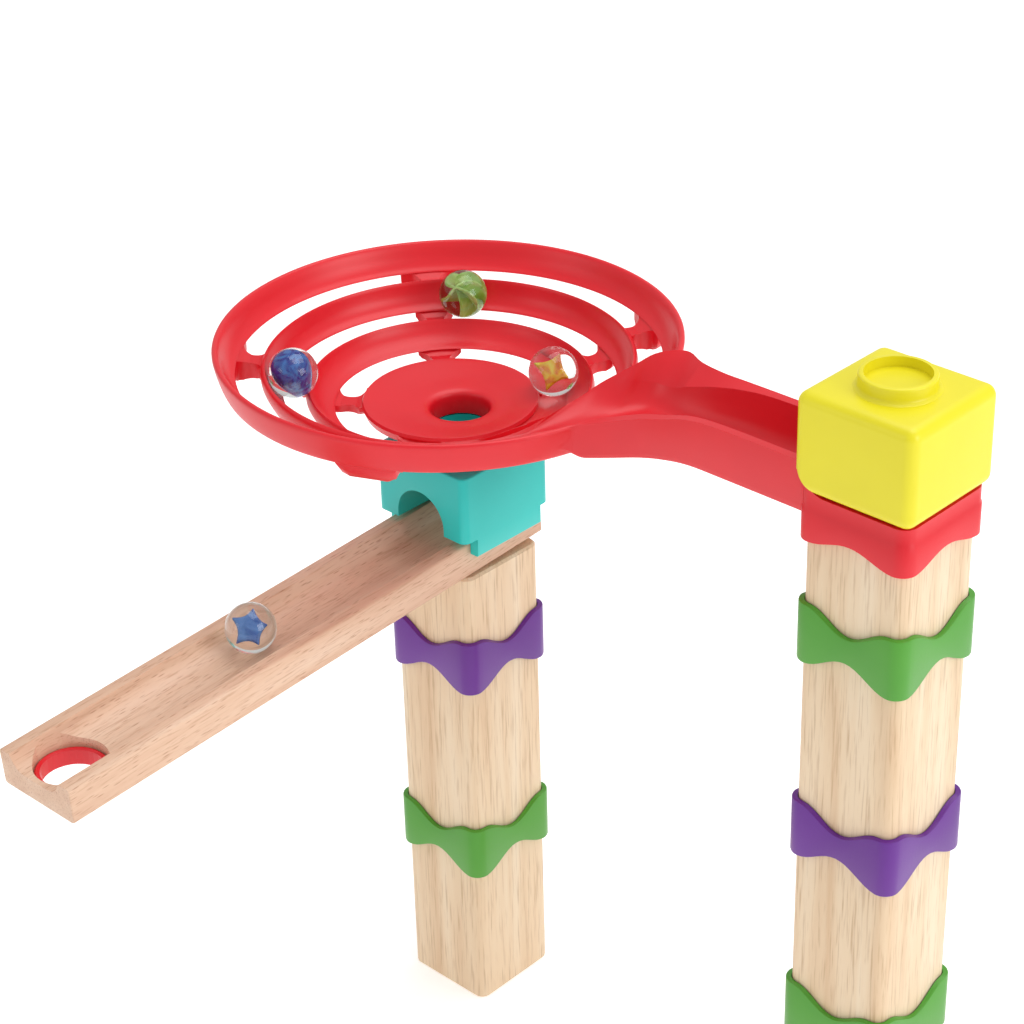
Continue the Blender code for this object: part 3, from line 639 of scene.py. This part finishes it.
def hub():
    """The disc with its hole and foot: its edge stands about the bowl's axis, its hole about the tower's."""
    curved, straight = HUB[:HUB_CURVED], HUB[HUB_CURVED:]
    path = smooth_path([Vector(pair) for pair in curved], 4, False) + [Vector(pair) for pair in straight]
    body = spun("hub", [tuple(point) for point in path], Vector((0, 0, RIM_Z)), 120, parts=1)
    still, moved = HUB_SHIFT
    for vert in body.data.vertices:
        radius = math.hypot(vert.co.x, vert.co.y) / MM
        share = min(max((radius - still) / (moved - still), 0), 1)
        vert.co += Vector((BOWL.x, BOWL.y, 0)) * share
    return body


# Pieces


def funnel(abs_red):
    """The bowl, its chute and its collar: joined, and then hollowed."""
    body = spun("funnel_refined", RIM_RING, BOWL, 144)
    parts = [
        spun("outer_band", OUTER_BAND, BOWL, 144),
        spun("inner_band", INNER_BAND, BOWL, 128),
        hub(),
    ]
    for i, (gap, side, flare) in enumerate(GAPS):
        parts += spokes(gap, side, flare, SPOKES[:-1] if i == 2 else SPOKES)
    start, end = LANDING
    angles = [start + (end - start) * i / 30 for i in range(31)]
    parts.append(loft("landing", [[polar(r, angle, z + 0.05) for r, z in INNER_SPOKE] for angle in angles]))
    rows = chute_rows()
    parts += [chute_outside(rows), collar()]
    cut_or_join(body, parts, "UNION")
    radius = (CHUTE_HALF - CHUTE_WALL - 0.1) * MM
    drop = rod("drop", radius, RIM_Z - 1.4 * MM, RIM_Z + BEYOND, (TOWER_B, 0))
    right = TOWER_B + BEYOND
    pairs = saddle(0, [(right, RIM_Z + SADDLE[-1][1] * MM), (right, RIM_Z + BEYOND)])
    pairs.append((pairs[0][0], RIM_Z + BEYOND))
    step = extruded("step", [Vector((x, -BEYOND, z)) for x, z in pairs], (0, 2 * BEYOND, 0))
    cut_or_join(body, [chute_inside(rows), drop, step], "DIFFERENCE")
    finish_piece(body, abs_red, "run", "red_plastic", "funnel_chute")
    return body


def peg_cutters(name, centre, floor, top):
    """What is cut from a block for the marble's bore and its wider mouth."""
    return [
        rod(f"{name}_bore", BORE, floor, top + 20 * MM, centre),
        rod(f"{name}_mouth", PEG_MOUTH, top + 1.5 * MM, top + 21 * MM, centre),
    ]


def peg_ring(name, centre, top):
    """The ring on a block's top that the next piece sits over."""
    return spun(name, PEG_RING, Vector((*centre, top)), 64, parts=1)


def rounded_block(name, half, low, high, centre, edge):
    """A square block with its edges rounded."""
    bm = bmesh.new()
    place = Matrix.Translation((centre[0], centre[1], (low + high) / 2)) @ Matrix.Diagonal(
        (2 * half, 2 * half, high - low, 1)
    )
    bmesh.ops.create_cube(bm, size=1, matrix=place)
    bmesh.ops.bevel(
        bm,
        geom=bm.edges[:],
        offset=edge,
        offset_type="OFFSET",
        segments=8,
        profile=0.5,
        affect="EDGES",
        material=-1,
    )
    return as_object(name, bm)


def arch(half, crown, foot):
    """The outline of a round-topped opening: pairs across and up."""
    pairs = [(half, foot)]
    for i in range(25):
        angle = math.pi * i / 24
        pairs.append((half * math.cos(angle), crown - half + half * math.sin(angle)))
    return pairs + [(-half, foot)]


def entry(yellow):
    """The yellow block that the marble is dropped into."""
    centre = (TOWER_B, 0)
    body = rounded_block("entry_refined", ENTRY_HALF, ENTRY_LOW, ENTRY_HIGH, centre, ENTRY_EDGE)
    cut_or_join(body, [peg_ring("entry_ring", centre, ENTRY_HIGH)], "UNION")
    foot = ENTRY_LOW - 9 * MM
    left, right = TOWER_B - BEYOND, TOWER_B + BEYOND
    pairs = saddle(CLEARANCE, [(right, ENTRY_LOW), (right, foot), (left, foot)])
    pairs.append((left, pairs[0][1]))
    under = extruded("under", [Vector((x, -BEYOND, z)) for x, z in pairs], (0, 2 * BEYOND, 0))
    opening = arch((CHUTE_HALF - CHUTE_WALL) * MM, ENTRY_CROWN, foot)
    passage = extruded("passage", [Vector((left, y, z)) for y, z in opening], (BEYOND, 0, 0))
    bore = peg_cutters("entry", centre, ENTRY_LOW - 5 * MM, ENTRY_HIGH)
    cut_or_join(body, [under, passage] + bore, "DIFFERENCE")
    finish_piece(body, yellow, "entry", "yellow_plastic", "entry_block")


def exit_turquoise(turquoise):
    """The turquoise block under the bowl, which stands over the rail and has an arch for the marble."""
    body = eased_column(
        "exit_refined", EXIT_HALF, EXIT_CORNER, (0, 0), EXIT_SKIRT, EXIT_TOP, EXIT_EASE, arc=12
    )
    cut_or_join(body, [peg_ring("exit_ring", (0, 0), EXIT_TOP)], "UNION")
    low = EXIT_SKIRT - 5 * MM
    cuts = []
    for i, (x, y0, y1, z) in enumerate(EXIT_CLEARED):
        points = [Vector((sx * x * MM, y0 * MM, sz)) for sx, sz in ((-1, low), (1, low), (1, z), (-1, z))]
        cuts.append(extruded(f"exit_cut_{i}", points, (0, (y1 - y0) * MM, 0)))
    opening = arch(EXIT_ARCH, EXIT_CROWN, low)
    points = [Vector((x, -BEYOND, z)) for x, z in opening]
    cuts.append(extruded("exit_passage", points, (0, BEYOND + 8 * MM, 0)))
    cut_or_join(body, cuts + peg_cutters("exit", (0, 0), low, EXIT_TOP), "DIFFERENCE")
    finish_piece(body, turquoise, "run", "turquoise_plastic", "exit_block")


def posts(wood):
    """The square wood posts. The one that takes the rail's dowel stays as it is."""
    for subpart in frame["record"]["subparts"]:
        node = subpart["node"]
        if not node.startswith("post_") or node == "post_A1":
            continue
        low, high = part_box(node)
        centre = ((low.x + high.x) / 2, (low.y + high.y) / 2)
        name = f"turned_{node}"
        body = eased_column(name, POST_HALF, POST_CORNER, centre, low.z, high.z, POST_EASE, arc=10)
        finish_piece(body, wood, "run", "rubberwood", node)


def sleeve_row(half, corner, inset, cut, middle, side):
    """Points round a connector's wavy edge, above its middle (side 1) or below it (side -1)."""
    centre = (middle.x, middle.y)
    row = square(half - inset * MM, corner - inset * MM, centre, 0)
    for point in row:
        reach = (SLEEVE_LOW + (SLEEVE_TALL - SLEEVE_LOW) * wave(point, centre, half)) / 2
        point.z = middle.z + side * (reach - cut * MM)
    return row


def connectors(finishes):
    """Wavy-edged sleeves, with their rims rounded, each with the web between its two posts."""
    inner, inner_corner = POST_HALF + CLEARANCE, POST_CORNER + CLEARANCE
    for subpart in frame["record"]["subparts"]:
        node = subpart["node"]
        if not node.startswith("connector_"):
            continue
        low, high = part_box(node)
        middle = (low + high) / 2
        centre = (middle.x, middle.y)
        rows = []
        for side, ease in ((-1, SLEEVE_EASE), (1, SLEEVE_EASE[::-1])):
            for inset, cut in ease:
                rows.append(sleeve_row(SLEEVE_HALF, SLEEVE_CORNER, inset, cut, middle, side))
        for side in (1, -1):
            row = sleeve_row(inner, inner_corner, 0, 0, middle, side)
            web = square(inner, inner_corner, centre, middle.z + side * WEB_HALF)
            hole = square(*WEB_HOLE, centre, middle.z + side * WEB_HALF)
            rows += [row, web, hole] if side > 0 else [hole, web, row]
        bm = bmesh.new()
        rings = [outline(bm, row) for row in rows]
        for first, second in zip(rings, rings[1:] + rings[:1]):
            bmesh.ops.bridge_loops(bm, edges=first + second)
        slot = subpart["material_slot"]
        new_piece(f"moulded_{node}", bm, finishes[slot], "run", slot, node)


def rail_refined(beech):
    """The rail with its edges eased, its groove and its drop hole."""
    half = RAIL_HALF / MM
    thick = RAIL_THICK / MM
    section = [(half - inset, -rise) for inset, rise in RAIL_EASE]
    section += [(half - inset, rise - thick) for inset, rise in reversed(RAIL_EASE)]
    section += [(-x, z) for x, z in reversed(section)]
    groove = smooth_path([Vector((x, z)) for x, z in RAIL_GROOVE], 5, False)
    across = [(-p.x, p.y) for p in groove] + [(p.x, p.y) for p in reversed(groove)]
    tilt = Matrix.Translation((0, 0, RAIL_TOP)) @ Matrix.Rotation(RAIL_SLOPE, 4, "X")
    loops = []
    for y, ease in RAIL_ENDS:
        loops.append([tilt @ Vector((x * ease * MM, y * MM, z * MM)) for x, z in section + across])
    body = loft("rail_refined", loops)
    drop = rod("drop_hole", DROP_RADIUS, RAIL_TOP - 2 * BEYOND, RAIL_TOP + BEYOND, (0, DROP_Y), 96)
    radius, top = DOWEL_SEAT
    seat = rod("seat", radius, RAIL_TOP - BEYOND, top, (0, 0), 40)
    cut_or_join(body, [drop, seat], "DIFFERENCE")
    finish_piece(body, beech, "run", "beech", "rail")


def glass_marbles(glass, cores):
    """Clear balls, each with its coloured core."""
    for name, body, slot in (
        ("marble_green", "green_marble", "green_glass"),
        ("marble_blue", "blue_marble", "blue_glass"),
        ("marble_fire", "fire_marble", "yellow_glass"),
        ("marble_star", "star_marble", "clear_blue_glass"),
    ):
        low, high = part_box(name)
        middle = (low + high) / 2
        bm = bmesh.new()
        place = Matrix.Translation(middle)
        bmesh.ops.create_icosphere(bm, subdivisions=5, radius=MARBLE_RADIUS, matrix=place)
        new_piece(f"glass_{name}", bm, glass, body, slot, name)
        shape, colour = cores[name]
        bm = shape()
        bmesh.ops.translate(bm, verts=bm.verts, vec=middle)
        core = new_piece(f"core_{name}", bm, colour, body, slot)
        core.modifiers.new("round", "SUBSURF").levels = 2
        core.modifiers["round"].render_levels = 2


def star_core(points, outer, inner, depth, turn):
    """A puffy star of coloured glass, turned by Euler angles in degrees."""
    bm = bmesh.new()
    bmesh.ops.create_circle(bm, cap_ends=True, segments=2 * points, radius=outer * MM)
    for i, vert in enumerate(bm.verts):
        if i % 2:
            vert.co *= inner / outer
    drawn = bmesh.ops.extrude_face_region(bm, geom=bm.faces[:], use_keep_orig=True)["geom"]
    moved = [item for item in drawn if isinstance(item, bmesh.types.BMVert)]
    bmesh.ops.translate(bm, verts=moved, vec=(0, 0, depth * MM))
    bmesh.ops.translate(bm, verts=bm.verts, vec=(0, 0, -depth * MM / 2))
    turn_all(bm, turn)
    return bm


def vane_core(vanes, width, height, twist, turn):
    """Crossed ribbons twisted about one axis, as in a cat's-eye marble."""
    bm = bmesh.new()
    for i in range(vanes):
        fresh = bmesh.ops.create_grid(bm, x_segments=6, y_segments=8, size=1)["verts"]
        for vert in fresh:
            y = vert.co.y
            out = vert.co.x * math.sqrt(max(1 - y * y, 0.02)) * width
            angle = math.pi * i / vanes + math.radians(twist) * y
            vert.co = Vector((out * math.cos(angle), out * math.sin(angle), y * height)) * MM
    bmesh.ops.solidify(bm, geom=bm.faces[:], thickness=0.9 * MM)
    turn_all(bm, turn)
    return bm


def bulb_core(turn):
    """A pear-shaped gather of coloured glass, broad at the top and drawn out below."""
    profile = (
        (0, -5.9), (1.3, -5.2), (2.7, -3.6), (4.2, -1.0), (5.1, 1.5),
        (4.9, 3.5), (3.4, 5.0), (1.6, 5.7), (0, 5.9),
    )
    bm = bmesh.new()
    verts = [bm.verts.new(Vector((r, 0, z)) * MM) for r, z in profile]
    edges = [bm.edges.new(pair) for pair in zip(verts, verts[1:])]
    bmesh.ops.spin(
        bm,
        geom=verts + edges,
        cent=(0, 0, 0),
        axis=(0, 0, 1),
        angle=2 * math.pi,
        steps=16,
        use_merge=True,
    )
    bmesh.ops.remove_doubles(bm, verts=bm.verts, dist=0.00001)
    turn_all(bm, turn)
    return bm


def turn_all(bm, turn):
    """Turns a core about X, Y and then Z, in degrees."""
    for axis, degrees in zip("XYZ", turn):
        bmesh.ops.rotate(bm, verts=bm.verts, matrix=Matrix.Rotation(math.radians(degrees), 3, axis))


# Studio


def floor():
    """The studio's floor, a hair under the feet of the posts."""
    bm = bmesh.new()
    bmesh.ops.create_grid(bm, x_segments=1, y_segments=1, size=6)
    bmesh.ops.translate(bm, verts=bm.verts, vec=(0, 0, -0.0002))
    obj = as_object("studio_floor", bm)
    obj.data.materials.append(studio_paper())


def camera():
    """The camera, at the solved place and turn."""
    data = bpy.data.cameras.new("camera")
    data.lens = LENS
    data.sensor_width = 36
    data.clip_start = 0.01
    obj = bpy.data.objects.new("camera", data)
    bpy.context.scene.collection.objects.link(obj)
    tilt, roll, heading = (math.radians(angle) for angle in CAMERA_TURN)
    turn = Matrix.Rotation(heading, 4, "Z") @ Matrix.Rotation(tilt, 4, "X") @ Matrix.Rotation(roll, 4, "Z")
    obj.matrix_world = Matrix.Translation(CAMERA_AT) @ turn
    bpy.context.scene.camera = obj


def soft_box(name, place, target, width, height, power):
    """A square lamp at a place, turned to its target."""
    data = bpy.data.lights.new(name, "AREA")
    data.shape = "RECTANGLE"
    data.size = width
    data.size_y = height
    data.energy = power
    obj = bpy.data.objects.new(name, data)
    bpy.context.scene.collection.objects.link(obj)
    away = Vector(place) - Vector(target)
    obj.matrix_world = Matrix.Translation(place) @ away.to_track_quat("Z", "Y").to_matrix().to_4x4()


def studio():
    """White air, and three lamps: above, right and, weaker, left."""
    world = bpy.data.worlds.new("studio_air")
    world.use_nodes = True
    background = world.node_tree.nodes["Background"]
    background.inputs["Color"].default_value = srgb("FFFFFF")
    background.inputs["Strength"].default_value = 0.62
    bpy.context.scene.world = world
    bpy.context.scene.view_settings.view_transform = "Standard"
    soft_box("top_box", (0.1, 0.3, 1.3), (0.05, -0.05, 0.2), 1.0, 1.0, 7)
    soft_box("right_box", (1.3, 0.15, 0.7), (0.08, 0, 0.2), 0.7, 0.7, 6)
    soft_box("left_box", (-0.5, -1.3, 0.7), (0.05, -0.05, 0.2), 0.6, 0.6, 1.5)


def paint_frame(finishes):
    """Gives every CAD node the finish of its slot."""
    for subpart in frame["record"]["subparts"]:
        obj = frame["nodes"][subpart["node"]]
        obj.data.materials.clear()
        obj.data.materials.append(finishes[subpart["material_slot"]])


def main():
    """The camera and the studio first, then the finishes, and then the pieces."""
    camera()
    studio()
    floor()
    glass = marble_glass()
    finishes = {
        "red_plastic": moulded_abs("red_abs", "E01424", "D81222"),
        "yellow_plastic": moulded_abs("yellow_abs", "E8DC1C", "E2D61A"),
        "turquoise_plastic": moulded_abs("turquoise_abs", "24CCC4", "20C6BE"),
        "green_plastic": moulded_abs("green_abs", "4C9A28", "469424"),
        "purple_plastic": moulded_abs("purple_abs", "62188C", "5C1684"),
        "rubberwood": grained_wood(
            "rubberwood",
            turn=(0, 0, 0),
            bands=((0.25, "D6B48E"), (0.5, "E4CAA8"), (0.75, "EBD8BC")),
            pore="B08A62",
            fleck="C09A70",
            pore_size=(0.8, 16),
            fleck_size=(0.35, 4),
            fleck_amount=0.15,
        ),
        "beech": grained_wood(
            "beech",
            turn=(math.pi / 2 - RAIL_SLOPE, 0, 0),
            bands=((0.25, "CFA488"), (0.5, "DDB89C"), (0.75, "E6C8B0")),
            pore="B58566",
            fleck="A0684C",
            pore_size=(0.6, 8),
            fleck_size=(0.3, 2.2),
            fleck_amount=0.55,
        ),
        "green_glass": glass,
        "blue_glass": glass,
        "yellow_glass": glass,
        "clear_blue_glass": glass,
    }
    paint_frame(finishes)
    cores = {
        "marble_green": (
            lambda: vane_core(3, 5.4, 5.8, 30, (50, 20, 0)),
            core_glass("green_core", ((0.3, "8CCB4A"), (0.7, "C4E88A"))),
        ),
        "marble_blue": (
            lambda: bulb_core((28, -12, 40)),
            core_glass("blue_core", ((0.42, "1C2FA6"), (0.58, "3C7FD8"))),
        ),
        "marble_fire": (
            lambda: star_core(4, 7.0, 1.3, 1.5, (62, 8, 10)),
            core_glass("fire_core", ((0.36, "E8801C"), (0.5, "F6C62A"), (0.64, "F2E84A"))),
        ),
        "marble_star": (
            lambda: star_core(5, 6.4, 1.6, 1.7, (60, 0, 25)),
            core_glass("star_core", ((0.3, "1C4CA8"), (0.7, "6C9CE0"))),
        ),
    }
    glass_marbles(glass, cores)
    funnel(finishes["red_plastic"])
    entry(finishes["yellow_plastic"])
    exit_turquoise(finishes["turquoise_plastic"])
    posts(finishes["rubberwood"])
    connectors(finishes)
    rail_refined(finishes["beech"])


main()
